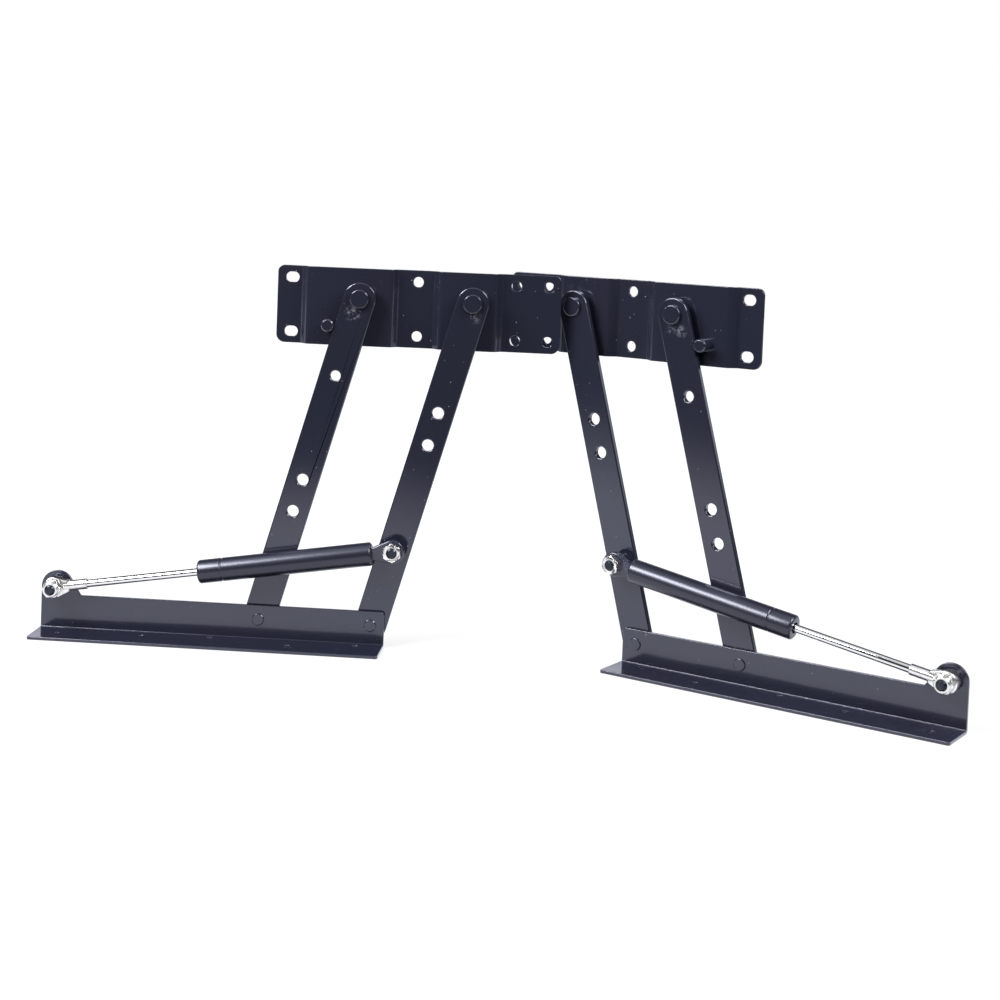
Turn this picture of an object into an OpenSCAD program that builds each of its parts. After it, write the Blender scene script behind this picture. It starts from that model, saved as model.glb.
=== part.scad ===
// Lift top table mechanism: a pair of mirrored units, drawn fully open. Each unit is a
// parallelogram of two flat arms between a base rail and a top plate, with a gas spring
// from the inner arm to an ear at the rail's outer end.
// A unit is drawn with X outward along its rail, Y to the back and Z up. Its outer lower
// pivot lies at X = 0 and the arms' middle plane at Y = 0. A depth is measured forward
// from that plane. The pair's origin is the middle of the left rail's underside.

/* [Arms] */
// Distance between the two pivots of an arm
arm_pitch = 260; // [220:1:300]
// Width of the flat bar
arm_w = 25; // [22:0.5:27]
// Thickness of the flat bar
arm_t = 5; // [4:0.5:6]
// Distance between the two arms' pivots, along the rail and along the top plate
pivot_gap = 87; // [80:1:96]
// Lean of the open arms from upright, away from the ear, in degrees
open_lean = 15.5; // [12:0.5:18]
// Diameter of the open holes in the arms
arm_hole_d = 9; // [7:0.5:10]
// Diameter of the outer arm's first hole
first_hole_d = 8; // [7:0.5:10]
// First hole of the outer arm, below its upper pivot
outer_hole_1 = 62; // [50:1:75]
// Second hole of the outer arm, below its upper pivot
outer_hole_2 = 146.5; // [130:0.5:150]
// Third hole of the outer arm, below its upper pivot
outer_hole_3 = 172; // [168:1:180]
// First hole of the inner arm, below its upper pivot
inner_hole_1 = 88; // [80:1:92]
// Second hole of the inner arm, below its upper pivot
inner_hole_2 = 114; // [108:1:120]

/* [Base rail] */
// Length of the rail from its inner end to the middle of the ear
rail_to_ear = 256; // [240:1:270]
// Distance from the rail's inner end to the inner lower pivot
rail_inner_end = 11; // [10:0.5:16]
// Height of the rail's web
web_h = 28; // [25:0.5:32]
// Depth of the rail's flange, from the back of the web
flange_d = 36; // [32:1:42]
// Sheet thickness of the rail
rail_t = 2.5; // [2:0.25:3]
// Outer radius of the rail's bend
rail_bend_r = 3; // [3:0.25:4]
// Radius of the flange's two front corners
flange_corner_r = 2; // [1:0.5:4]
// Radius of the web's inner top corner
web_corner_r = 3; // [1:0.5:5]
// Height of the lower pivots above the floor
pivot_z = 17; // [16:0.5:19]
// Height of the ear's stud above the lower pivots
ear_rise = 18.25; // [17:0.25:21]
// Radius of the ear
ear_r = 12.5; // [11:0.5:13.5]
// Distance of the middle of the ear's radius below its stud
ear_drop = 1; // [0:0.25:2]
// Distance from the ear's middle to the foot of its sloping flank, along the rail
ear_foot = 18.5; // [16:0.5:22]
// Diameter of the flange's screw holes
screw_hole_d = 5; // [4:0.25:6]
// Distance of the front row of screw holes from the back of the web
screw_row_front = 20.5; // [19:0.5:24]
// Distance of the back row of screw holes from the back of the web
screw_row_back = 10.5; // [9:0.5:13]
// Outermost screw hole, from the rail's inner end, in the front row
screw_1 = 250; // [235:1:254]
// Second screw hole from the outer end, half-way between the rows
screw_2 = 186; // [175:1:200]
// Third screw hole from the outer end, in the back row
screw_3 = 134; // [120:1:145]
// Fourth screw hole from the outer end, in the front row
screw_4 = 71.5; // [60:0.5:85]
// Innermost screw hole, in the back row
screw_5 = 21; // [15:0.5:30]

/* [Top plate] */
// Height of the plate
plate_h = 60; // [56:1:66]
// Sheet thickness of the plate
plate_t = 2.5; // [2:0.25:3]
// Length of the plate outward from the outer upper pivot
plate_outward = 66.5; // [64:0.5:72]
// Length of the plate inward from the outer upper pivot
plate_inward = 153.5; // [150:0.5:160]
// Distance from the plate's top edge down to the pivots
plate_pivot_drop = 23; // [21:0.5:26]
// Step between the plate's raised bearing zones and its mounting zones
joggle = 6; // [4:0.5:7]
// Length over which the sheet steps
joggle_run = 8; // [7:0.5:9]
// Radius of the plate's two top corners
plate_top_r = 5; // [3:0.5:7]
// Radius of the plate's two bottom corners
plate_bottom_r = 6.5; // [3:0.5:8]
// Distance between the upper and lower rows of mounting holes
row_gap = 42; // [38:1:44]
// Distance of the upper row of mounting holes below the plate's top edge
row_edge = 9; // [8:0.5:10]
// Slots in the outer flange: distance outward from the outer upper pivot
slot_x = 55; // [54:0.5:57]
// Length of the slots, end to end
slot_len = 10.5; // [10:0.5:12.5]
// Width of the slots
slot_w = 8; // [7:0.5:9]
// Round holes between the arms: distance inward from the outer upper pivot
mid_hole_x = 43; // [41:0.5:45]
// Diameter of the round holes between the arms
mid_hole_d = 8; // [7:0.5:9]
// Nearer pad holes: distance inward from the outer upper pivot
pad_hole_x = 119; // [117:0.5:121]
// Distance between the two pad hole columns
pad_hole_gap = 25; // [20:0.5:26]
// Diameter of the pad holes
pad_hole_d = 8; // [6:0.5:9]
// Flat left between a slot and the step beside it
slot_land = 1.5; // [0.5:0.5:3]
// Flat left between the holes between the arms and the step outward of them
mid_land_outer = 10; // [8:0.5:11]
// Flat left between the holes between the arms and the step inward of them
mid_land_inner = 7.5; // [6:0.5:9]
// Flat left between the nearer pad holes and the step beside them
pad_land = 5.5; // [3:0.5:7]

/* [Rivets and stop pin] */
// Diameter of the pivot rivets' shanks
shank_d = 8; // [7:0.5:9]
// Diameter of the rivet heads in front of the rail's web
lower_head_d = 9.5; // [9.25:0.25:12]
// Height of the rivet heads in front of the rail's web
lower_head_h = 1; // [0.5:0.25:2]
// Diameter of the peened rivet ends at the back
tail_d = 13; // [11:0.5:15]
// Height of the peened rivet ends at the back
tail_h = 2; // [1.5:0.25:3]
// Gap between the web and the arms, filled by thin washers
lower_gap = 0.5; // [0.5:0.1:1]
// Diameter of the thin washers
washer_d = 16; // [14:0.5:18]
// Diameter of the rivet heads in front of the arms
upper_head_d = 14.5; // [12:0.5:17]
// Height of the rivet heads in front of the arms
upper_head_h = 2.5; // [2:0.25:3]
// Gap between the arms and the plate, filled by spacer collars
upper_gap = 5; // [4:0.5:6]
// Diameter of the spacer collars
collar_d = 16; // [14:0.5:19]
// Diameter of the stop pin
stop_pin_d = 10; // [8:0.5:12]
// Distance of the stop pin below the outer upper pivot
stop_pin_drop = 21.3; // [19:0.1:24]
// Height of the stop pin's end in front of the arm
stop_pin_proud = 1.5; // [1:0.25:2.5]
// Bevel round the stop pin's end
stop_pin_bevel = 1; // [0.5:0.25:1.5]
// Diameter of the stop pin's spigot through the plate
stop_spigot_d = 6; // [5:0.5:7]

/* [Gas spring] */
// Distance of the arm's stud from its lower pivot, along the arm
stud_along = 62; // [58:1:68]
// Depth of the spring's middle plane in front of the arms' middle plane
spring_v = 13; // [13:0.25:15]
// Diameter of the studs
stud_d = 8; // [7:0.5:8.5]
// Diameter of the tube
tube_d = 18; // [16:0.5:19]
// Length of the tube
tube_len = 135; // [126:1:138]
// Wall of the tube
tube_wall = 1.25; // [1:0.25:1.5]
// Distance from the arm's stud to the tube
tube_start = 15.8; // [14.5:0.1:18]
// Radius of the tube's rolled ends
tube_end_r = 2; // [1.5:0.25:2.5]
// Distance of the crimp groove from the tube's rod end
groove_at = 18.5; // [16:0.5:22]
// Depth of the crimp groove
groove_depth = 0.45; // [0.25:0.05:0.6]
// Width of the crimp groove
groove_w = 1.6; // [1:0.2:4]
// Radial gap between the rod and the tube's rolled mouth
mouth_gap = 1; // [0.5:0.25:2]
// Diameter of the flat eye on the tube
tube_eye_d = 18; // [16:0.5:20]
// Thickness of the flat eye on the tube
tube_eye_t = 6; // [5:0.5:7]
// Width of the flat eye's neck where it meets the tube
tube_eye_neck = 9; // [8:0.5:10]
// Length of the flat eye's stub inside the tube
eye_stub_len = 8; // [6:0.5:12]
// Diameter of the piston rod
rod_d = 6; // [5:0.5:7]
// Diameter of the eye on the rod
rod_eye_d = 16; // [15:0.5:18]
// Thickness of the eye on the rod
rod_eye_t = 6.8; // [6:0.2:7.2]
// Diameter of the rod eye's neck
rod_neck_d = 8; // [7.4:0.2:8.4]
// Distance from the ear's stud to where the eye's flanks meet the neck
rod_eye_flare = 12; // [11:0.5:15]
// Distance from the ear's stud to the end of the neck
rod_neck_end = 26.5; // [24:0.5:30]
// Length of the rod guide inside the tube
guide_len = 12; // [10:0.5:14]
// Length of the rod seal
seal_len = 4; // [3:0.5:5]
// Length of the piston
piston_len = 9; // [8:0.5:12]
// Distance between the piston and the seal, with the spring fully out
piston_gap = 4; // [2:0.5:8]
// Radial clearance of the piston in the tube
piston_fit = 0.15; // [0.1:0.05:0.3]
// Depth of the groove for the piston ring
ring_depth = 1.5; // [1:0.25:2]
// Diameter of the rod's end inside the piston
rod_tip_d = 4; // [3:0.5:4.5]
// Height of the rod's riveted end behind the piston
rod_tip_proud = 1; // [0.5:0.25:2]
// Length of the rod's thread inside the neck
rod_thread_len = 12; // [8:1:14]
// Diameter of the spacer behind the flat eye
stud_spacer_d = 13; // [12:0.5:15]

/* [Nuts] */
// Width of the hexagon nuts across their flats
nut_af = 13; // [12:0.5:14]
// Height of the plain nut on the arm's stud
arm_nut_h = 5; // [4:0.5:6]
// Height of the thin nut against the ear
thin_nut_h = 4; // [3.5:0.1:4]
// Height of the lock nut's hexagon
lock_hex_h = 5; // [4:0.5:6]
// Height of the lock nut's round collar
lock_collar_h = 3; // [2:0.5:4]
// Diameter of the lock nut's round collar
lock_collar_d = 11.8; // [11:0.2:12]
// Length of the studs that stands out of the outer nuts
stud_proud = 1.3; // [0.5:0.1:3]
// Width of the bevel round the studs' front ends
stud_bevel = 1.1; // [0.3:0.1:1.3]
// Angle of one corner of the arm stud's nut, from the outward end towards upright
arm_nut_corner = 25; // [0:5:55]

/* [Pair] */
// Right unit: distance of its outer lower pivot along X from the pair's origin
right_x = 405.25; // [395:0.25:440]
// Right unit: distance of its outer lower pivot to the front of the pair's origin
right_y = 34; // [28:1:40]
// Turn of the right unit towards the viewer, in degrees
right_turn = 29.5; // [27:0.5:33]

/* [Clearances] */
// Radial clearance of a running pivot
run_fit = 0.05; // [0.02:0.01:0.1]
// Axial clearance beside a turning face
face_fit = 0.1; // [0.05:0.05:0.2]
// Clearance between the arm and the stack that ends the open pivot
open_fit = 0.3; // [0.2:0.05:0.4]
// Clearance between the stop pin and the arm
stop_fit = 0.05; // [0.02:0.01:0.1]

/* [Hidden] */
$fn = 64;
// How far a cut runs past the faces that it opens
cut = 1;
chamfer = 0.6;
neck_bevel = 0.3;
joggle_steps = 8;
far = 100;

// Depths, forward of the arms' middle plane
arm_front = arm_t / 2;
web_back = arm_front + lower_gap;
web_front = web_back + rail_t;
flange_front = web_back + flange_d;
zone_front = -arm_front - upper_gap;
raised_mid = zone_front - plate_t / 2;
mount_mid = raised_mid - joggle;
eye_back = spring_v - tube_eye_t / 2;
eye_front = spring_v + tube_eye_t / 2;
arm_stud_end = eye_front + arm_nut_h + stud_proud;
rod_eye_back = spring_v - rod_eye_t / 2;
rod_eye_front = spring_v + rod_eye_t / 2;
lock_nut_back = rod_eye_front + face_fit;
lock_nut_front = lock_nut_back + lock_hex_h + lock_collar_h;
ear_stud_end = lock_nut_front + stud_proud;

// Rail, along X
inner_x = -pivot_gap;
rail_start = inner_x - rail_inner_end;
ear_x = rail_start + rail_to_ear;
rail_end = ear_x + ear_r;
rail_len = rail_end - rail_start;
ear_z = pivot_z + ear_rise;
ear_mid_z = ear_z - ear_drop;
screw_row_mid = (screw_row_front + screw_row_back) / 2;
// Screw holes: distance from the rail's inner end and from the back of the web
screws = [[screw_1, screw_row_front], [screw_2, screw_row_mid], [screw_3, screw_row_back],
    [screw_4, screw_row_front], [screw_5, screw_row_back]];

// Top pivots and plate
top_x = -arm_pitch * sin(open_lean);
top_z = pivot_z + arm_pitch * cos(open_lean);
plate_top = plate_pivot_drop;
plate_bottom = plate_top - plate_h;
row_high = plate_top - row_edge;
row_low = row_high - row_gap;
// Middles of the four steps, along X from the outer upper pivot
step_1 = slot_x - slot_len / 2 - slot_land - joggle_run / 2;
step_2 = -mid_hole_x + mid_hole_d / 2 + mid_land_outer + joggle_run / 2;
step_3 = -mid_hole_x - mid_hole_d / 2 - mid_land_inner - joggle_run / 2;
step_4 = -pad_hole_x + pad_hole_d / 2 + pad_land + joggle_run / 2;
stop_pin_x = (arm_w / 2 + stop_pin_d / 2 + stop_fit + stop_pin_drop * sin(open_lean)) / cos(open_lean);
stop_pin_end = arm_front + stop_pin_proud;

// Gas spring, from the arm's stud to the ear's stud
stud_x = inner_x - stud_along * sin(open_lean);
stud_z = pivot_z + stud_along * cos(open_lean);
spring_len = norm([ear_x - stud_x, ear_z - stud_z]);
spring_pitch = atan2(stud_z - ear_z, ear_x - stud_x);
tube_end = tube_start + tube_len;
tube_bore = tube_d / 2 - tube_wall;
guide_start = tube_end - tube_end_r - guide_len;
seal_start = guide_start - seal_len;
piston_start = seal_start - piston_gap - piston_len;
neck_start = spring_len - rod_neck_end;
thread_end = neck_start + rod_thread_len;

// Where the two units stand
left_at = [rail_start + rail_len / 2, (web_back + flange_front) / 2, 0];
right_at = [right_x, -right_y, 0];

// Placing

module left_unit() {
    translate(left_at) mirror([1, 0, 0]) children();
}

module right_unit() {
    translate(right_at) rotate([0, 0, -right_turn]) children();
}

// Extrudes an outline drawn in X and Z from one depth to another
module slab(from, to) {
    translate([0, -from, 0]) rotate([90, 0, 0]) linear_extrude(to - from) children();
}

// A round bar along the depth
module bar(x, z, from, to, d) {
    translate([x, -from, z]) rotate([90, 0, 0]) cylinder(d = d, h = to - from);
}

// A turned solid on a pivot's axis, from an outline of radii and depths
module turned(x, z, outline) {
    translate([x, 0, z]) rotate([90, 0, 0]) rotate_extrude() polygon(outline);
}

// A hexagon nut with bevelled corners, from one depth to another
module hex(x, z, from, to, bore) {
    corner = nut_af / cos(30) / 2;
    difference() {
        intersection() {
            translate([x, -from, z]) rotate([90, 0, 0]) cylinder(r = corner, h = to - from, $fn = 6);
            turned(x, z, [[0, from], [nut_af / 2, from], [corner, from + chamfer],
                [corner, to - chamfer], [nut_af / 2, to], [0, to]]);
        }
        bar(x, z, from - cut, to + cut, bore);
    }
}

// Puts a piece on an arm, with Z along the arm from its lower pivot
module on_arm(lower_x) {
    translate([lower_x, 0, pivot_z]) rotate([0, -open_lean, 0]) children();
}

// Puts a piece on the plate, with its outer upper pivot at the zero of X and Z
module on_plate() {
    translate([top_x, 0, top_z]) children();
}

// Puts a piece on the spring, with X along it from the arm's stud
module on_spring() {
    translate([stud_x, -spring_v, stud_z]) rotate([0, spring_pitch, 0]) children();
}

// A solid turned about the spring, from an outline of radii and distances along it
module spun(outline) {
    rotate([0, 90, 0]) rotate_extrude() polygon(outline);
}

// Base rail

// The rail's section: depth from the back of the web, and height
module rail_section() {
    inner_r = rail_bend_r - rail_t;
    difference() {
        square([flange_d, web_h]);
        translate([rail_t + inner_r, rail_t]) square(far);
        translate([rail_t, rail_t + inner_r]) square(far);
        translate([rail_t + inner_r, rail_t + inner_r]) circle(max(inner_r, 0.01));
        difference() {
            translate([-cut, -cut]) square(rail_bend_r + cut);
            translate([rail_bend_r, rail_bend_r]) circle(rail_bend_r);
        }
    }
}

// The waste outside a rounded corner at the origin, which opens towards +X and +Y
module corner_waste(r) {
    difference() {
        translate([-cut, -cut]) square(r + cut);
        translate([r, r]) circle(r);
    }
}

// The ear: a round top whose inner flank slopes down to the web's top edge
module ear_outline() {
    rise = ear_mid_z - web_h;
    reach = norm([ear_foot, rise]);
    // Direction from the ear's middle to where the flank leaves its radius
    leave = 180 + atan2(rise, ear_foot) - acos(ear_r / reach);
    translate([ear_x, ear_mid_z]) circle(ear_r);
    translate([ear_x, web_h - cut]) square([ear_r, rise + cut]);
    translate([ear_x, ear_mid_z]) polygon([[0, 0], [ear_r * cos(leave), ear_r * sin(leave)],
        [-ear_foot, -rise], [-ear_foot, -rise - cut], [0, -rise - cut]]);
}

module base_rail() {
    color("#1b1b22") difference() {
        union() {
            translate([rail_start, -web_back, 0]) mirror([0, 1, 0]) rotate([90, 0, 90])
                linear_extrude(rail_len) rail_section();
            slab(web_back, web_front) ear_outline();
        }
        slab(web_back - cut, web_front + cut) translate([rail_start, web_h]) mirror([0, 1])
            corner_waste(web_corner_r);
        translate([0, -flange_front, -cut]) linear_extrude(rail_t + 2 * cut) {
            translate([rail_start, 0]) corner_waste(flange_corner_r);
            translate([rail_end, 0]) mirror([1, 0]) corner_waste(flange_corner_r);
        }
        for (screw = screws)
            translate([rail_start + screw[0], -web_back - screw[1], -cut])
                cylinder(d = screw_hole_d, h = rail_t + 2 * cut);
        for (x = [0, inner_x]) bar(x, pivot_z, web_back - cut, web_front + cut, shank_d);
        bar(ear_x, ear_z, web_back - cut, web_front + cut, stud_d);
    }
}

// Arms

module arm_blank() {
    circle(d = arm_w);
    translate([0, arm_pitch]) circle(d = arm_w);
    translate([-arm_w / 2, 0]) square([arm_w, arm_pitch]);
}

// A flat bar with its two bores and its open holes, given below the upper pivot
module arm(holes) {
    difference() {
        slab(-arm_front, arm_front) arm_blank();
        for (z = [0, arm_pitch]) bar(0, z, -arm_t, arm_t, shank_d + 2 * run_fit);
        for (drop = holes) bar(0, arm_pitch - drop, -arm_t, arm_t, arm_hole_d);
    }
}

module outer_arm() {
    color("#1b1b22") on_arm(0) difference() {
        arm([outer_hole_2, outer_hole_3]);
        bar(0, arm_pitch - outer_hole_1, -arm_t, arm_t, first_hole_d);
    }
}

module inner_arm() {
    color("#1b1b22") on_arm(inner_x) difference() {
        arm([inner_hole_1, inner_hole_2]);
        bar(0, stud_along, -arm_t, arm_t, stud_d);
    }
}

// Top plate

// One step of the sheet's middle line: points with their slope, from one Y to another
function step_points(middle, from, to) = [for (i = [0 : joggle_steps])
    let (t = i / joggle_steps)
    [middle + joggle_run * (t - 0.5), from + (to - from) * (1 - cos(180 * t)) / 2,
        (to - from) * PI / 2 * sin(180 * t) / joggle_run]];

// The sheet's middle line from its inner end to its outer end
sheet_line = concat(
    [[-plate_inward, -mount_mid, 0]],
    step_points(step_4, -mount_mid, -raised_mid),
    step_points(step_3, -raised_mid, -mount_mid),
    step_points(step_2, -mount_mid, -raised_mid),
    step_points(step_1, -raised_mid, -mount_mid),
    [[plate_outward, -mount_mid, 0]]);

// The middle line moved square to itself
function sheet_side(offset) = [for (p = sheet_line)
    [p[0] - offset * p[2] / norm([1, p[2]]), p[1] + offset / norm([1, p[2]])]];

module plate_sheet() {
    back = sheet_side(plate_t / 2);
    last = len(back) - 1;
    polygon(concat(sheet_side(-plate_t / 2), [for (i = [0 : last]) back[last - i]]));
}

module plate_outline() {
    difference() {
        translate([-plate_inward, plate_bottom]) square([plate_inward + plate_outward, plate_h]);
        translate([-plate_inward, plate_bottom]) corner_waste(plate_bottom_r);
        translate([plate_outward, plate_bottom]) mirror([1, 0]) corner_waste(plate_bottom_r);
        translate([-plate_inward, plate_top]) mirror([0, 1]) corner_waste(plate_top_r);
        translate([plate_outward, plate_top]) rotate(180) corner_waste(plate_top_r);
    }
}

module slot_outline() {
    middle = (slot_len - slot_w) / 2;
    for (side = [-1, 1]) translate([side * middle, 0]) circle(d = slot_w);
    translate([-middle, -slot_w / 2]) square([2 * middle, slot_w]);
}

module top_plate() {
    back = mount_mid - plate_t;
    front = zone_front + plate_t;
    color("#1b1b22") on_plate() difference() {
        intersection() {
            translate([0, 0, plate_bottom]) linear_extrude(plate_h) plate_sheet();
            slab(back, front) plate_outline();
        }
        for (z = [row_high, row_low]) {
            slab(back, front) translate([slot_x, z]) slot_outline();
            bar(-mid_hole_x, z, back, front, mid_hole_d);
            bar(-pad_hole_x, z, back, front, pad_hole_d);
            bar(-pad_hole_x - pad_hole_gap, z, back, front, pad_hole_d);
        }
        for (x = [0, inner_x]) bar(x, 0, back, front, shank_d);
        bar(stop_pin_x, -stop_pin_drop, back, front, stop_spigot_d);
    }
}

// Rivets, washers and stop pin

// A low head that stands forward of a face
function head_outline(face, r, h, bevel) = [[0, face], [r, face], [r, face + h - bevel],
    [r - bevel, face + h], [0, face + h]];

module lower_rivets() {
    back = -arm_front - face_fit;
    color("#22222a") for (x = [0, inner_x]) union() {
        bar(x, pivot_z, back, web_front, shank_d);
        turned(x, pivot_z, head_outline(web_front, lower_head_d / 2, lower_head_h, lower_head_h / 2));
        turned(x, pivot_z, [[0, back], [tail_d / 2, back], [tail_d / 2, back - tail_h + chamfer],
            [tail_d / 2 - chamfer, back - tail_h], [0, back - tail_h]]);
    }
}

module lower_washers() {
    color("#3a3a40") for (x = [0, inner_x]) difference() {
        bar(x, pivot_z, arm_front + face_fit, web_back, washer_d);
        bar(x, pivot_z, arm_front, web_back + cut, shank_d);
    }
}

module upper_rivets() {
    head = arm_front + face_fit;
    back = zone_front - plate_t;
    color("#1b1b22") on_plate() for (x = [0, inner_x]) union() {
        bar(x, 0, back, head, shank_d);
        turned(x, 0, head_outline(head, upper_head_d / 2, upper_head_h, chamfer));
        turned(x, 0, [[0, back], [tail_d / 2, back], [tail_d / 2 - chamfer, back - tail_h],
            [0, back - tail_h]]);
    }
}

module upper_collars() {
    color("#1b1b22") on_plate() for (x = [0, inner_x]) difference() {
        bar(x, 0, zone_front, -arm_front - face_fit, collar_d);
        bar(x, 0, zone_front - cut, -arm_front, shank_d);
    }
}

module stop_pin() {
    back = zone_front - plate_t;
    r = stop_pin_d / 2;
    color("#1b1b22") on_plate() union() {
        bar(stop_pin_x, -stop_pin_drop, back - chamfer, zone_front, stop_spigot_d);
        turned(stop_pin_x, -stop_pin_drop, [[0, zone_front], [r, zone_front],
            [r, stop_pin_end - stop_pin_bevel], [r - stop_pin_bevel, stop_pin_end],
            [0, stop_pin_end]]);
    }
}

// Stack on the inner arm's stud

module arm_stud_root() {
    back = -arm_front;
    color("#22222a") on_arm(inner_x) union() {
        bar(0, stud_along, back, arm_front, stud_d);
        turned(0, stud_along, [[0, back], [tail_d / 2, back], [tail_d / 2 - chamfer, back - tail_h],
            [0, back - tail_h]]);
    }
}

// A stud with a broad bevel round its flat front end
module stud(x, z, from, to) {
    r = stud_d / 2;
    turned(x, z, [[0, from], [r, from], [r, to - stud_bevel], [r - stud_bevel, to], [0, to]]);
}

module arm_stud() {
    color("#2a2a30") stud(stud_x, stud_z, arm_front + open_fit, arm_stud_end);
}

module arm_stud_spacer() {
    color("#1b1b22") difference() {
        bar(stud_x, stud_z, arm_front + open_fit, eye_back, stud_spacer_d);
        bar(stud_x, stud_z, arm_front, eye_back + cut, stud_d);
    }
}

module arm_stud_nut() {
    color("#c9c6bd") translate([stud_x, 0, stud_z]) rotate([0, -arm_nut_corner, 0])
        hex(0, 0, eye_front, eye_front + arm_nut_h, stud_d);
}

// Gas spring

// The flat eye: a ring with straight flanks that run in to the neck, and a stub in the tube
module tube_eye() {
    r = tube_eye_d / 2;
    reach = norm([tube_start, tube_eye_neck / 2]);
    flank = acos(r / reach) + atan2(tube_eye_neck / 2, tube_start);
    lip = tube_d / 2 - tube_end_r;
    color("#17171d") on_spring() difference() {
        union() {
            slab(-tube_eye_t / 2, tube_eye_t / 2) {
                circle(r);
                polygon([[0, 0], [r * cos(flank), r * sin(flank)],
                    [tube_start, tube_eye_neck / 2], [tube_start, -tube_eye_neck / 2],
                    [r * cos(flank), -r * sin(flank)]]);
            }
            spun([[0, tube_start], [lip, tube_start], [lip, tube_start + tube_end_r],
                [tube_bore, tube_start + tube_end_r], [tube_bore, tube_start + eye_stub_len],
                [0, tube_start + eye_stub_len]]);
        }
        bar(0, 0, -tube_eye_t, tube_eye_t, stud_d);
    }
}

// The tube's shell, rolled in at both ends and crimped near the rod
module gas_tube() {
    r = tube_d / 2;
    lip = r - tube_end_r;
    groove = tube_end - groove_at;
    mouth = rod_d / 2 + mouth_gap;
    color("#17171d") on_spring() spun(concat(
        [[lip, tube_start]],
        [for (a = [0 : 15 : 90]) [lip + tube_end_r * sin(a), tube_start + tube_end_r * (1 - cos(a))]],
        [for (a = [-90 : 30 : 90]) [r - groove_depth * cos(a), groove + groove_w * a / 180]],
        [for (a = [90 : -15 : 0]) [lip + tube_end_r * sin(a), tube_end - tube_end_r * (1 - cos(a))]],
        [[mouth, tube_end], [mouth, tube_end - tube_wall],
            [tube_bore, tube_end - tube_end_r], [tube_bore, tube_start + tube_end_r],
            [lip, tube_start + tube_end_r]]));
}

// A plain ring round the spring's axis
module ring(from, to, outer_r, inner_r) {
    spun([[inner_r, from], [outer_r, from], [outer_r, to], [inner_r, to]]);
}

module rod_guide() {
    color("#8f8a5c") on_spring()
        ring(guide_start, guide_start + guide_len, tube_bore, rod_d / 2 + run_fit);
}

module rod_seal() {
    color("#1c1c1c") on_spring()
        ring(seal_start, guide_start, tube_bore, rod_d / 2 + run_fit);
}

// The piston has a groove for its ring and is riveted on the rod's end
module piston() {
    r = tube_bore - piston_fit;
    third = piston_len / 3;
    color("#b9b9b2") on_spring() spun([[rod_tip_d / 2, piston_start], [r, piston_start],
        [r, piston_start + third], [r - ring_depth, piston_start + third],
        [r - ring_depth, piston_start + 2 * third], [r, piston_start + 2 * third],
        [r, piston_start + piston_len], [rod_tip_d / 2, piston_start + piston_len]]);
}

module piston_ring() {
    third = piston_len / 3;
    color("#e8e4da") on_spring() ring(piston_start + third, piston_start + 2 * third,
        tube_bore - run_fit, tube_bore - piston_fit - ring_depth);
}

module piston_rod() {
    tip = rod_tip_d / 2;
    tip_end = piston_start - rod_tip_proud;
    shoulder = piston_start + piston_len;
    color("#d8d8da") on_spring() spun([[0, tip_end], [tip, tip_end], [tip, shoulder],
        [rod_d / 2, shoulder], [rod_d / 2, thread_end], [0, thread_end]]);
}

// The eye screwed on the rod: a ring with straight flanks that run in to a round neck
module rod_eye() {
    r = rod_eye_d / 2;
    neck_r = rod_neck_d / 2;
    flank = acos(r / norm([rod_eye_flare, neck_r])) + atan2(neck_r, rod_eye_flare);
    neck_fade = spring_len - r - chamfer;
    color("#c9c6bd") on_spring() difference() {
        union() {
            translate([spring_len, 0, 0]) {
                turned(0, 0, [[0, -rod_eye_t / 2],
                    [r - chamfer, -rod_eye_t / 2], [r, chamfer - rod_eye_t / 2],
                    [r, rod_eye_t / 2 - chamfer], [r - chamfer, rod_eye_t / 2], [0, rod_eye_t / 2]]);
                slab(-rod_eye_t / 2, rod_eye_t / 2)
                    polygon([[0, 0], [-r * cos(flank), r * sin(flank)], [-rod_eye_flare, neck_r],
                        [-rod_eye_flare, -neck_r], [-r * cos(flank), -r * sin(flank)]]);
            }
            spun([[0, neck_start], [neck_r - neck_bevel, neck_start],
                [neck_r, neck_start + neck_bevel], [neck_r, neck_fade],
                [neck_r - chamfer, neck_fade + chamfer], [0, neck_fade + chamfer]]);
        }
        bar(spring_len, 0, -rod_eye_t, rod_eye_t, stud_d + 2 * run_fit);
        spun([[0, neck_start - cut], [rod_d / 2, neck_start - cut], [rod_d / 2, thread_end],
            [0, thread_end]]);
    }
}

// Stack on the ear

module ear_stud() {
    color("#2a2a30") union() {
        stud(ear_x, ear_z, web_back, ear_stud_end);
        turned(ear_x, ear_z, [[0, web_back], [tail_d / 2, web_back],
            [tail_d / 2 - chamfer, web_back - tail_h], [0, web_back - tail_h]]);
    }
}

module ear_thin_nut() {
    color("#c9c6bd") hex(ear_x, ear_z, web_front, web_front + thin_nut_h, stud_d);
}

module ear_lock_nut() {
    collar = lock_nut_back + lock_hex_h;
    r = lock_collar_d / 2;
    color("#c9c6bd") union() {
        hex(ear_x, ear_z, lock_nut_back, collar, stud_d);
        turned(ear_x, ear_z, [[stud_d / 2, collar], [r, collar], [r, lock_nut_front - chamfer],
            [r - chamfer, lock_nut_front], [stud_d / 2, lock_nut_front]]);
    }
}

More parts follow.
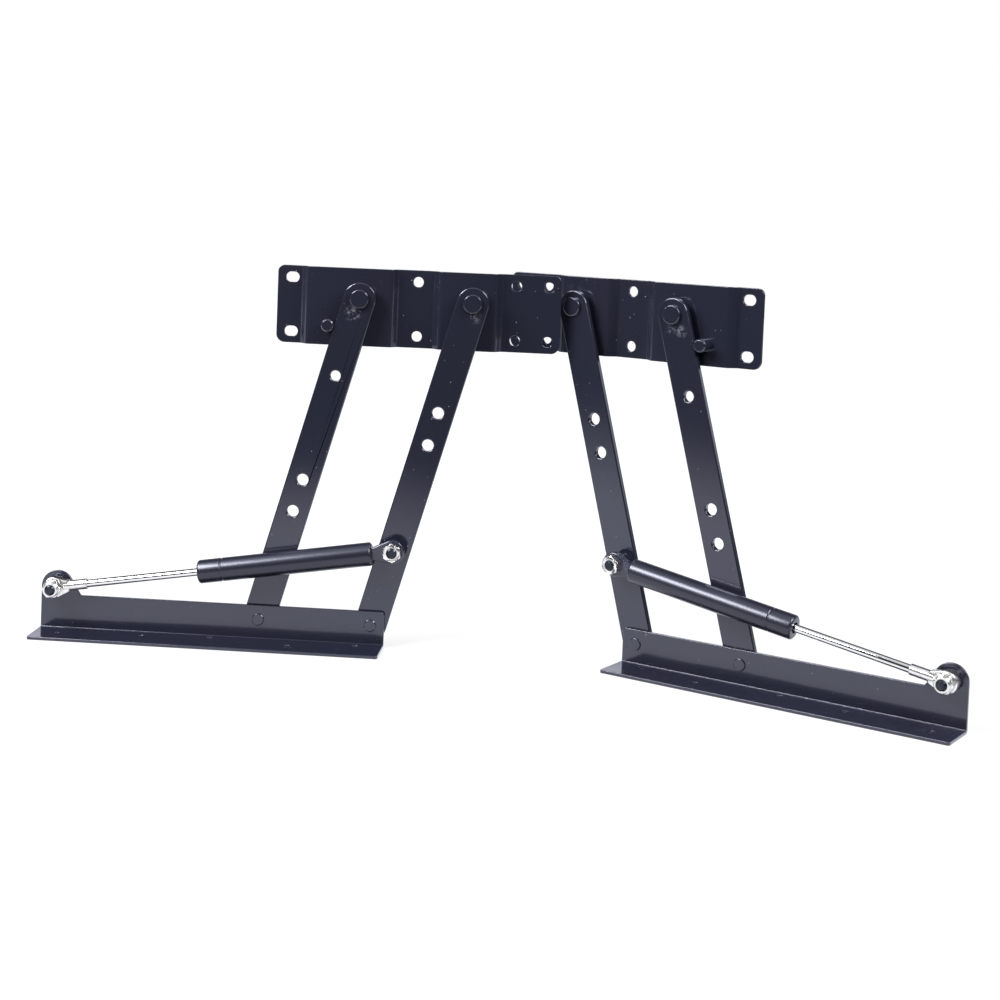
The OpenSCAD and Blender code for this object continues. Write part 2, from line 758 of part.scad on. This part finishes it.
left_unit() base_rail();  // left_base_rail
left_unit() outer_arm();  // left_outer_arm
left_unit() inner_arm();  // left_inner_arm
left_unit() top_plate();  // left_top_plate
left_unit() lower_rivets();  // left_lower_rivets
left_unit() lower_washers();  // left_lower_washers
left_unit() upper_rivets();  // left_upper_rivets
left_unit() upper_collars();  // left_upper_collars
left_unit() stop_pin();  // left_stop_pin
left_unit() arm_stud_root();  // left_arm_stud_root
left_unit() arm_stud();  // left_arm_stud
left_unit() arm_stud_spacer();  // left_arm_stud_spacer
left_unit() arm_stud_nut();  // left_arm_stud_nut
left_unit() tube_eye();  // left_tube_eye
left_unit() gas_tube();  // left_gas_tube
left_unit() rod_guide();  // left_rod_guide
left_unit() rod_seal();  // left_rod_seal
left_unit() piston();  // left_piston
left_unit() piston_ring();  // left_piston_ring
left_unit() piston_rod();  // left_piston_rod
left_unit() rod_eye();  // left_rod_eye
left_unit() ear_stud();  // left_ear_stud
left_unit() ear_thin_nut();  // left_ear_thin_nut
left_unit() ear_lock_nut();  // left_ear_lock_nut
right_unit() base_rail();  // right_base_rail
right_unit() outer_arm();  // right_outer_arm
right_unit() inner_arm();  // right_inner_arm
right_unit() top_plate();  // right_top_plate
right_unit() lower_rivets();  // right_lower_rivets
right_unit() lower_washers();  // right_lower_washers
right_unit() upper_rivets();  // right_upper_rivets
right_unit() upper_collars();  // right_upper_collars
right_unit() stop_pin();  // right_stop_pin
right_unit() arm_stud_root();  // right_arm_stud_root
right_unit() arm_stud();  // right_arm_stud
right_unit() arm_stud_spacer();  // right_arm_stud_spacer
right_unit() arm_stud_nut();  // right_arm_stud_nut
right_unit() tube_eye();  // right_tube_eye
right_unit() gas_tube();  // right_gas_tube
right_unit() rod_guide();  // right_rod_guide
right_unit() rod_seal();  // right_rod_seal
right_unit() piston();  // right_piston
right_unit() piston_ring();  // right_piston_ring
right_unit() piston_rod();  // right_piston_rod
right_unit() rod_eye();  // right_rod_eye
right_unit() ear_stud();  // right_ear_stud
right_unit() ear_thin_nut();  // right_ear_thin_nut
right_unit() ear_lock_nut();  // right_ear_lock_nut
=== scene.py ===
"""Looks of a pair of lift-top table units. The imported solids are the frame, in metres."""
import math

import bpy
from mathutils import Matrix, Vector

MM = 0.001
SIDES = ("left", "right")


def linear(code):
    """An sRGB hex colour as linear red, green, blue and alpha."""
    parts = [int(code[i:i + 2], 16) / 255 for i in (1, 3, 5)]
    return [c / 12.92 if c <= 0.04045 else ((c + 0.055) / 1.055) ** 2.4 for c in parts] + [1.0]


def per(size_mm):
    """The texture scale at which one cell or wave is that many millimetres across."""
    return 1000 / size_mm


def add(tree, kind, settings=(), links=()):
    """Adds a node, sets its sockets or properties by name, and links its sockets to outputs."""
    node = tree.nodes.new(kind)
    for name, value in dict(settings).items():
        if isinstance(name, int) or name in node.inputs:
            node.inputs[name].default_value = value
        else:
            setattr(node, name, value)
    for name, source in dict(links).items():
        tree.links.new(source, node.inputs[name])
    return node


def finish(name, settings):
    """A material with one Principled shader: the material, its tree and the shader."""
    material = bpy.data.materials.new(name)
    material.use_nodes = True
    tree = material.node_tree
    tree.nodes.clear()
    shader = add(tree, "ShaderNodeBsdfPrincipled", settings)
    add(tree, "ShaderNodeOutputMaterial", links={"Surface": shader.outputs[0]})
    return material, tree, shader


def relief(tree, shader, where, size_mm, detail, strength, depth_mm):
    """Fine waves in a skin: their width, how finely they break up, and how deep they look."""
    waves = add(tree, "ShaderNodeTexNoise", {"Scale": per(size_mm), "Detail": detail}, {"Vector": where})
    skin = add(tree, "ShaderNodeBump", {"Strength": strength, "Distance": depth_mm * MM},
               {"Height": waves.outputs["Fac"]})
    tree.links.new(skin.outputs[0], shader.inputs["Normal"])


# Finishes

ENAMEL_ROUGH = 0.2
RUBBED_ROUGH = 0.6


def stoved_enamel(name, rubs=()):
    """Black stoved enamel on pressed steel: a smooth blue-black mirror. Its film is a little
    uneven, dust lies on it, and it is rubbed grey where the rivets were closed. A rub is its
    middle and its half width in millimetres, and how much of it shows."""
    material, tree, shader = finish(name, {
        "Roughness": ENAMEL_ROUGH, "IOR": 1.5, "Specular Tint": linear("#e6e9ff"),
        "Coat Weight": 0.85, "Coat Roughness": 0.08, "Coat IOR": 1.5, "Coat Tint": linear("#f2f4ff")})
    where = add(tree, "ShaderNodeTexCoord").outputs["Object"]
    # The film's colour drifts over some 70 mm
    film = add(tree, "ShaderNodeTexNoise", {"Scale": per(70), "Detail": 1.0}, {"Vector": where})
    tint = add(tree, "ShaderNodeMix", {"data_type": "RGBA", 6: linear("#23212b"), 7: linear("#1c202b")},
               {0: film.outputs["Fac"]})
    # Dust: a grain in most cells of 7 mm, more or less pale. It is drawn nearly 1 mm across so
    # that it shows
    cells = add(tree, "ShaderNodeTexVoronoi", {"Scale": per(7)}, {"Vector": where})
    grain = add(tree, "ShaderNodeMapRange", {"From Min": 0.08, "From Max": 0.035},
                {"Value": cells.outputs["Distance"]})
    lot = add(tree, "ShaderNodeSeparateColor", links={"Color": cells.outputs["Color"]})
    some = add(tree, "ShaderNodeMath", {"operation": "LESS_THAN", 1: 0.9}, {0: lot.outputs["Red"]})
    pale = add(tree, "ShaderNodeMath", {"operation": "MULTIPLY"},
               {0: some.outputs[0], 1: lot.outputs["Green"]})
    dust = add(tree, "ShaderNodeMath", {"operation": "MULTIPLY"}, {0: grain.outputs[0], 1: pale.outputs[0]})
    colour = add(tree, "ShaderNodeMix", {"data_type": "RGBA", 7: linear("#8a8c96")},
                 {0: dust.outputs[0], 6: tint.outputs[2]}).outputs[2]
    rough = None
    for middle, half_mm, strength in rubs:
        # A rub is full near its middle and fades out to its edge
        off = add(tree, "ShaderNodeVectorMath", {"operation": "DISTANCE", 1: [c * MM for c in middle]},
                  {0: where})
        near = add(tree, "ShaderNodeMapRange", {"From Min": half_mm * MM, "From Max": 0.2 * half_mm * MM},
                   {"Value": off.outputs["Value"]})
        # Scuffs of the rub, about 2.5 mm apart
        scuff = add(tree, "ShaderNodeTexNoise", {"Scale": per(2.5), "Detail": 3.0, "Roughness": 0.65},
                    {"Vector": where})
        broken = add(tree, "ShaderNodeMapRange", {"From Min": 0.47, "From Max": 0.6},
                     {"Value": scuff.outputs["Fac"]})
        worn = add(tree, "ShaderNodeMath", {"operation": "MULTIPLY"},
                   {0: near.outputs[0], 1: broken.outputs[0]})
        share = add(tree, "ShaderNodeMath", {"operation": "MULTIPLY", 1: strength}, {0: worn.outputs[0]})
        colour = add(tree, "ShaderNodeMix", {"data_type": "RGBA", 7: linear("#8a8a90")},
                     {0: share.outputs[0], 6: colour}).outputs[2]
        if rough is None:
            rough = share.outputs[0]
        else:
            rough = add(tree, "ShaderNodeMath", {"operation": "MAXIMUM"},
                        {0: rough, 1: share.outputs[0]}).outputs[0]
    tree.links.new(colour, shader.inputs["Base Color"])
    if rough is not None:
        matt = add(tree, "ShaderNodeMapRange", {"To Min": ENAMEL_ROUGH, "To Max": RUBBED_ROUGH},
                   {"Value": rough})
        tree.links.new(matt.outputs[0], shader.inputs["Roughness"])
    # Orange peel, waves of 2 mm
    relief(tree, shader, where, 2, 1.0, 0.05, 0.3)
    return material


def sprayed_lacquer():
    """Black lacquer sprayed on drawn steel tube: satin gloss, so highlights spread."""
    material, tree, shader = finish("sprayed lacquer", {
        "Roughness": 0.33, "IOR": 1.5, "Specular Tint": linear("#e6e9ff"),
        "Coat Weight": 0.45, "Coat Roughness": 0.25, "Coat IOR": 1.5, "Coat Tint": linear("#f0f2ff")})
    where = add(tree, "ShaderNodeTexCoord").outputs["Object"]
    # The film's colour drifts over some 25 mm
    film = add(tree, "ShaderNodeTexNoise", {"Scale": per(25), "Detail": 2.0}, {"Vector": where})
    tint = add(tree, "ShaderNodeMix", {"data_type": "RGBA", 6: linear("#171821"), 7: linear("#1a1b25")},
               {0: film.outputs["Fac"]})
    tree.links.new(tint.outputs[2], shader.inputs["Base Color"])
    # Spray texture, drawn at 1.2 mm so that it shows
    relief(tree, shader, where, 1.2, 2.0, 0.05, 0.1)
    return material


def turned_metal(name, pale, deep, rough):
    """Turned, sintered or cast metal, plated or bare: its skin is duller in patches, and the
    turning and barrel marks break the gloss."""
    material, tree, shader = finish(name, {"Metallic": 1.0})
    where = add(tree, "ShaderNodeTexCoord").outputs["Object"]
    # The patches are some 5 mm across, and the dull ones are a little rougher
    film = add(tree, "ShaderNodeTexNoise", {"Scale": per(5), "Detail": 3.0}, {"Vector": where})
    spread = add(tree, "ShaderNodeMapRange", {"From Min": 0.35, "From Max": 0.7},
                 {"Value": film.outputs["Fac"]})
    tint = add(tree, "ShaderNodeMix", {"data_type": "RGBA", 6: linear(pale), 7: linear(deep)},
               {0: spread.outputs[0]})
    tree.links.new(tint.outputs[2], shader.inputs["Base Color"])
    gloss = add(tree, "ShaderNodeMapRange", {"To Min": rough - 0.05, "To Max": rough + 0.08},
                {"Value": film.outputs["Fac"]})
    tree.links.new(gloss.outputs[0], shader.inputs["Roughness"])
    # Turning and barrel marks, drawn at 0.8 mm so that they show
    relief(tree, shader, where, 0.8, 2.0, 0.12, 0.05)
    return material


def hard_chrome():
    """Hard chrome on ground rod: a mirror with the faintest trace of the grinding."""
    material, tree, shader = finish("hard chrome", {
        "Metallic": 1.0, "Roughness": 0.03, "Base Color": linear("#dedddb")})
    where = add(tree, "ShaderNodeTexCoord").outputs["Object"]
    # The trace of the grinding, drawn at 0.6 mm so that it shows
    relief(tree, shader, where, 0.6, 1.0, 0.01, 0.02)
    return material


def moulded(name, code, rough):
    """Moulded rubber or nylon: a flat even skin with a fine grain."""
    material, tree, shader = finish(name, {"Base Color": linear(code), "Roughness": rough})
    where = add(tree, "ShaderNodeTexCoord").outputs["Object"]
    # The mould's grain, drawn at 0.5 mm so that it shows
    relief(tree, shader, where, 0.5, 2.0, 0.1, 0.05)
    return material


# Solids

def arris(node, width_mm):
    """Rounds a solid's sharp edges, as pressing, tumbling and paint do."""
    mesh = node.data
    for custom in [a for a in mesh.attributes if a.name == "custom_normal"]:
        mesh.attributes.remove(custom)
    mesh.shade_smooth()
    weld = node.modifiers.new("weld", "WELD")
    weld.merge_threshold = 0.001 * MM
    # Flat faces become one each, so that the bevel meets no needless edge
    faces = node.modifiers.new("faces", "DECIMATE")
    faces.decimate_type = "DISSOLVE"
    faces.angle_limit = math.radians(0.4)
    # Edges under 32 degrees belong to round stretches
    bevel = node.modifiers.new("arris", "BEVEL")
    bevel.limit_method = "ANGLE"
    bevel.angle_limit = math.radians(32)
    bevel.width = width_mm * MM
    bevel.segments = 3
    bevel.harden_normals = True
    bevel.use_clamp_overlap = False


# Studio

# The photograph's camera: place in millimetres, then yaw, pitch and roll in degrees
CAMERA_PLACE = Vector((308.89, -1332.1, 355.06)) * MM
CAMERA_TURN = (3.5844, -2.6035, -2.3011)
FOCAL_PX = 1784.1
CENTRE_PX = (515.55, 271.77)
FRAME_PX = 1000


def camera():
    """The photograph's view: yaw about Z, pitch about X and roll about the line of sight."""
    data = bpy.data.cameras.new("camera")
    data.sensor_width = 36
    data.lens = data.sensor_width * FOCAL_PX / FRAME_PX
    data.shift_x = 0.5 - CENTRE_PX[0] / FRAME_PX
    data.shift_y = CENTRE_PX[1] / FRAME_PX - 0.5
    data.clip_start = 0.05
    yaw, pitch, roll = (math.radians(a) for a in CAMERA_TURN)
    turn = Matrix.Rotation(yaw, 4, "Z") @ Matrix.Rotation(pitch, 4, "X")
    turn = turn @ Matrix.Rotation(roll, 4, "Y") @ Matrix.Rotation(math.pi / 2, 4, "X")
    made = bpy.data.objects.new("camera", data)
    made.matrix_world = Matrix.Translation(CAMERA_PLACE) @ turn
    bpy.context.scene.collection.objects.link(made)
    bpy.context.scene.camera = made


def softbox(name, place, target, width, height, watts):
    """A rectangular lamp that faces a target. Places and sizes are in metres."""
    data = bpy.data.lights.new(name, "AREA")
    data.shape = "RECTANGLE"
    data.size, data.size_y, data.energy = width, height, watts
    lamp = bpy.data.objects.new(name, data)
    lamp.location = place
    lamp.rotation_euler = (Vector(target) - Vector(place)).to_track_quat("-Z", "Y").to_euler()
    bpy.context.scene.collection.objects.link(lamp)


def room():
    """A dim room with a wide cool white ceiling light and white paper low behind the units.
    The camera itself sees plain white."""
    world = bpy.data.worlds.new("studio")
    bpy.context.scene.world = world
    world.use_nodes = True
    tree = world.node_tree
    tree.nodes.clear()
    path = add(tree, "ShaderNodeLightPath")
    clear = add(tree, "ShaderNodeMath", {"operation": "MAXIMUM"},
                {0: path.outputs["Is Camera Ray"], 1: path.outputs["Is Transmission Ray"]})
    way = add(tree, "ShaderNodeTexCoord").outputs["Generated"]
    # The light hangs a little in front of the units, some 32 degrees to each side of its middle
    middle = (0.0, -0.26, 0.966)
    slope = add(tree, "ShaderNodeVectorMath", {"operation": "DOT_PRODUCT", 1: middle}, {0: way})
    level = add(tree, "ShaderNodeMapRange",
                {"From Min": 0.78, "From Max": 0.9, "To Min": 0.06, "To Max": 1.0},
                {"Value": slope.outputs["Value"]})
    # The paper stands behind, from some 5 to 19 degrees over the horizon
    axes = add(tree, "ShaderNodeSeparateXYZ", links={0: way})
    foot = add(tree, "ShaderNodeMapRange", {"From Min": 0.05, "From Max": 0.12}, {"Value": axes.outputs["Z"]})
    head = add(tree, "ShaderNodeMapRange", {"From Min": 0.36, "From Max": 0.3}, {"Value": axes.outputs["Z"]})
    behind = add(tree, "ShaderNodeMapRange", {"From Min": 0.2, "From Max": 0.5}, {"Value": axes.outputs["Y"]})
    tall = add(tree, "ShaderNodeMath", {"operation": "MULTIPLY"}, {0: foot.outputs[0], 1: head.outputs[0]})
    paper = add(tree, "ShaderNodeMath", {"operation": "MULTIPLY"}, {0: tall.outputs[0], 1: behind.outputs[0]})
    bright = add(tree, "ShaderNodeMath", {"operation": "MAXIMUM"}, {0: level.outputs[0], 1: paper.outputs[0]})
    strength = add(tree, "ShaderNodeMath", {"operation": "MAXIMUM"},
                   {0: bright.outputs[0], 1: clear.outputs[0]})
    tint = add(tree, "ShaderNodeMix", {"data_type": "RGBA", 6: linear("#f3f5ff"), 7: linear("#ffffff")},
               {0: clear.outputs[0]})
    lit = add(tree, "ShaderNodeBackground", links={"Color": tint.outputs[2], "Strength": strength.outputs[0]})
    add(tree, "ShaderNodeOutputWorld", links={0: lit.outputs[0]})


def floor():
    """A pale table. Its own glow brings it to white, fully so away from the units, and their
    shadow stays on it. Gloss sees it a little blue, and ending in the dark in front and behind."""
    reach, front = 4.0, -1.1
    mesh = bpy.data.meshes.new("floor")
    mesh.from_pydata([(-reach, front, 0), (reach, front, 0), (reach, reach, 0), (-reach, reach, 0)],
                     [], [(0, 1, 2, 3)])
    made = bpy.data.objects.new("floor", mesh)
    bpy.context.scene.collection.objects.link(made)
    material = bpy.data.materials.new("pale floor")
    material.use_nodes = True
    tree = material.node_tree
    tree.nodes.clear()
    path = add(tree, "ShaderNodeLightPath")
    where = add(tree, "ShaderNodeTexCoord").outputs["Object"]
    axes = add(tree, "ShaderNodeSeparateXYZ", links={0: where})
    # How far a point is to either side of the middle between the units
    between = 0.28
    aside = add(tree, "ShaderNodeMath", {"operation": "SUBTRACT", 1: between}, {0: axes.outputs["X"]})
    apart = add(tree, "ShaderNodeMath", {"operation": "ABSOLUTE"}, {0: aside.outputs[0]})
    # The dark in front is a painted reflection for the units' gloss. It comes nearer in the middle, and
    # nearer on the left than on the right
    notch = add(tree, "ShaderNodeMapRange", {"From Max": 0.26, "To Min": 0.38, "To Max": 0.0},
                {"Value": apart.outputs[0]})
    slant = add(tree, "ShaderNodeMapRange",
                {"From Min": -0.6, "From Max": 0.2, "To Min": 0.2, "To Max": 0.0},
                {"Value": axes.outputs["X"]})
    edge = add(tree, "ShaderNodeMath", {"operation": "ADD"}, {0: notch.outputs[0], 1: slant.outputs[0]})
    depth = add(tree, "ShaderNodeMath", {"operation": "SUBTRACT"},
                {0: axes.outputs["Y"], 1: edge.outputs[0]})
    near = add(tree, "ShaderNodeMapRange", {"From Min": -0.98, "From Max": -0.48},
               {"Value": depth.outputs[0]})
    back = add(tree, "ShaderNodeMapRange",
               {"From Min": 0.15, "From Max": 0.6, "To Min": 1.0, "To Max": 0.25},
               {"Value": axes.outputs["Y"]})
    lit = add(tree, "ShaderNodeMath", {"operation": "MULTIPLY"}, {0: back.outputs[0], 1: near.outputs[0]})
    # Glow that only reflections see, a little blue, dark in front and fading behind: a painted reflection in
    # the units' gloss
    gloss = add(tree, "ShaderNodeMath", {"operation": "MULTIPLY"},
                {0: path.outputs["Is Glossy Ray"], 1: lit.outputs[0]})
    # The camera sees the glow grow to full away from the units, where the lamps give less
    across = add(tree, "ShaderNodeMath", {"operation": "ABSOLUTE"}, {0: axes.outputs["Y"]})
    beyond = add(tree, "ShaderNodeMath", {"operation": "SUBTRACT", 1: 0.25}, {0: apart.outputs[0]})
    off = add(tree, "ShaderNodeMath", {"operation": "MAXIMUM"},
              {0: across.outputs[0], 1: beyond.outputs[0]})
    far = add(tree, "ShaderNodeMapRange", {"From Min": 0.1, "From Max": 0.6, "To Min": 0.78},
              {"Value": off.outputs[0]})
    seen = add(tree, "ShaderNodeMath", {"operation": "MULTIPLY"},
               {0: path.outputs["Is Camera Ray"], 1: far.outputs[0]})
    level = add(tree, "ShaderNodeMath", {"operation": "MAXIMUM"}, {0: seen.outputs[0], 1: gloss.outputs[0]})
    cast = add(tree, "ShaderNodeMix", {"data_type": "RGBA", 6: linear("#f4f6ff"), 7: linear("#ffffff")},
               {0: path.outputs["Is Camera Ray"]})
    glow = add(tree, "ShaderNodeEmission", links={"Color": cast.outputs[2], "Strength": level.outputs[0]})
    # The table's colour is painted near black in front: a painted dark reflection for the units' gloss
    shade = add(tree, "ShaderNodeMix", {"data_type": "RGBA", 6: linear("#181819"), 7: linear("#6c6c6c")},
                {0: near.outputs[0]})
    matt = add(tree, "ShaderNodeBsdfDiffuse", links={"Color": shade.outputs[2]})
    both = add(tree, "ShaderNodeAddShader", links={0: glow.outputs[0], 1: matt.outputs[0]})
    add(tree, "ShaderNodeOutputMaterial", links={"Surface": both.outputs[0]})
    mesh.materials.append(material)


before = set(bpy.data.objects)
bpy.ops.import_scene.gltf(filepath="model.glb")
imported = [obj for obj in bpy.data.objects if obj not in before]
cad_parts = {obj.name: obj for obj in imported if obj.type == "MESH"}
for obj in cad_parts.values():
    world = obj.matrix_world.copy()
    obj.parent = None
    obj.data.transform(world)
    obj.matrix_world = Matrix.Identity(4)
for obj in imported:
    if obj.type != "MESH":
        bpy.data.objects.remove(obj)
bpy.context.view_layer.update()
camera()
enamel = stoved_enamel("stoved enamel")
lacquer = sprayed_lacquer()
# Zinc under a clear film: silvery, a little grey in patches
zinc = turned_metal("bright zinc plate", "#eae9e8", "#d8d5d0", 0.24)
# Zinc under a black film: blue-black with a soft metal sheen
dark_zinc = turned_metal("black zinc plate", "#41454d", "#2a2d34", 0.28)
chrome = hard_chrome()
rubber = moulded("nitrile rubber", "#191919", 0.5)
nylon = moulded("white nylon", "#e6e2d8", 0.45)
# Pressed and sintered: a dull yellow skin
brass = turned_metal("sintered brass", "#b59b5e", "#9c8247", 0.4)
# Turned bright and left bare: pale grey
aluminium = turned_metal("machined aluminium", "#d2d3d5", "#b9babd", 0.3)
FINISH = {
    "base_rail": enamel, "outer_arm": enamel, "inner_arm": enamel, "top_plate": enamel,
    "lower_rivets": enamel, "lower_washers": enamel, "upper_rivets": enamel,
    "upper_collars": enamel, "stop_pin": enamel, "arm_stud_root": enamel,
    "arm_stud": dark_zinc, "arm_stud_spacer": enamel, "arm_stud_nut": zinc,
    "tube_eye": enamel, "gas_tube": lacquer, "rod_guide": brass, "rod_seal": rubber,
    "piston": aluminium, "piston_ring": nylon, "piston_rod": chrome, "rod_eye": zinc,
    "ear_stud": dark_zinc, "ear_thin_nut": zinc, "ear_lock_nut": zinc}
# Widths of the rounded edges in millimetres
ARRIS = {"base_rail": 0.45, "outer_arm": 1.0, "inner_arm": 1.0, "top_plate": 0.35, "tube_eye": 0.9}
SMALL_ARRIS = 0.25
# Where closing the rivets rubbed the arms' front faces
RUBBED = {
    "left_outer_arm": [((101.0, 18.5, 256.2), 7.5, 0.6)],
    "left_inner_arm": [((195.0, 18.5, 257.5), 6.0, 0.3)],
    "right_outer_arm": [((344.5, 1.0, 256.5), 5.5, 0.6), ((352.0, -3.2, 255.5), 6.5, 0.75)]}
for side in SIDES:
    for piece, material in FINISH.items():
        name = f"{side}_{piece}"
        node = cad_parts[name]
        if name in RUBBED:
            material = stoved_enamel(f"stoved enamel, {name}", RUBBED[name])
        node.data.materials.clear()
        node.data.materials.append(material)
        arris(node, ARRIS.get(piece, SMALL_ARRIS))

room()
floor()
LAMP_TARGET = (0.2, 0, 0.15)
softbox("key", (-0.85, -0.6, 1.15), LAMP_TARGET, 1.1, 0.6, 50)
softbox("fill", (1.25, -0.65, 1.2), LAMP_TARGET, 0.8, 0.7, 31)

scene = bpy.context.scene
scene.view_settings.view_transform = "Standard"
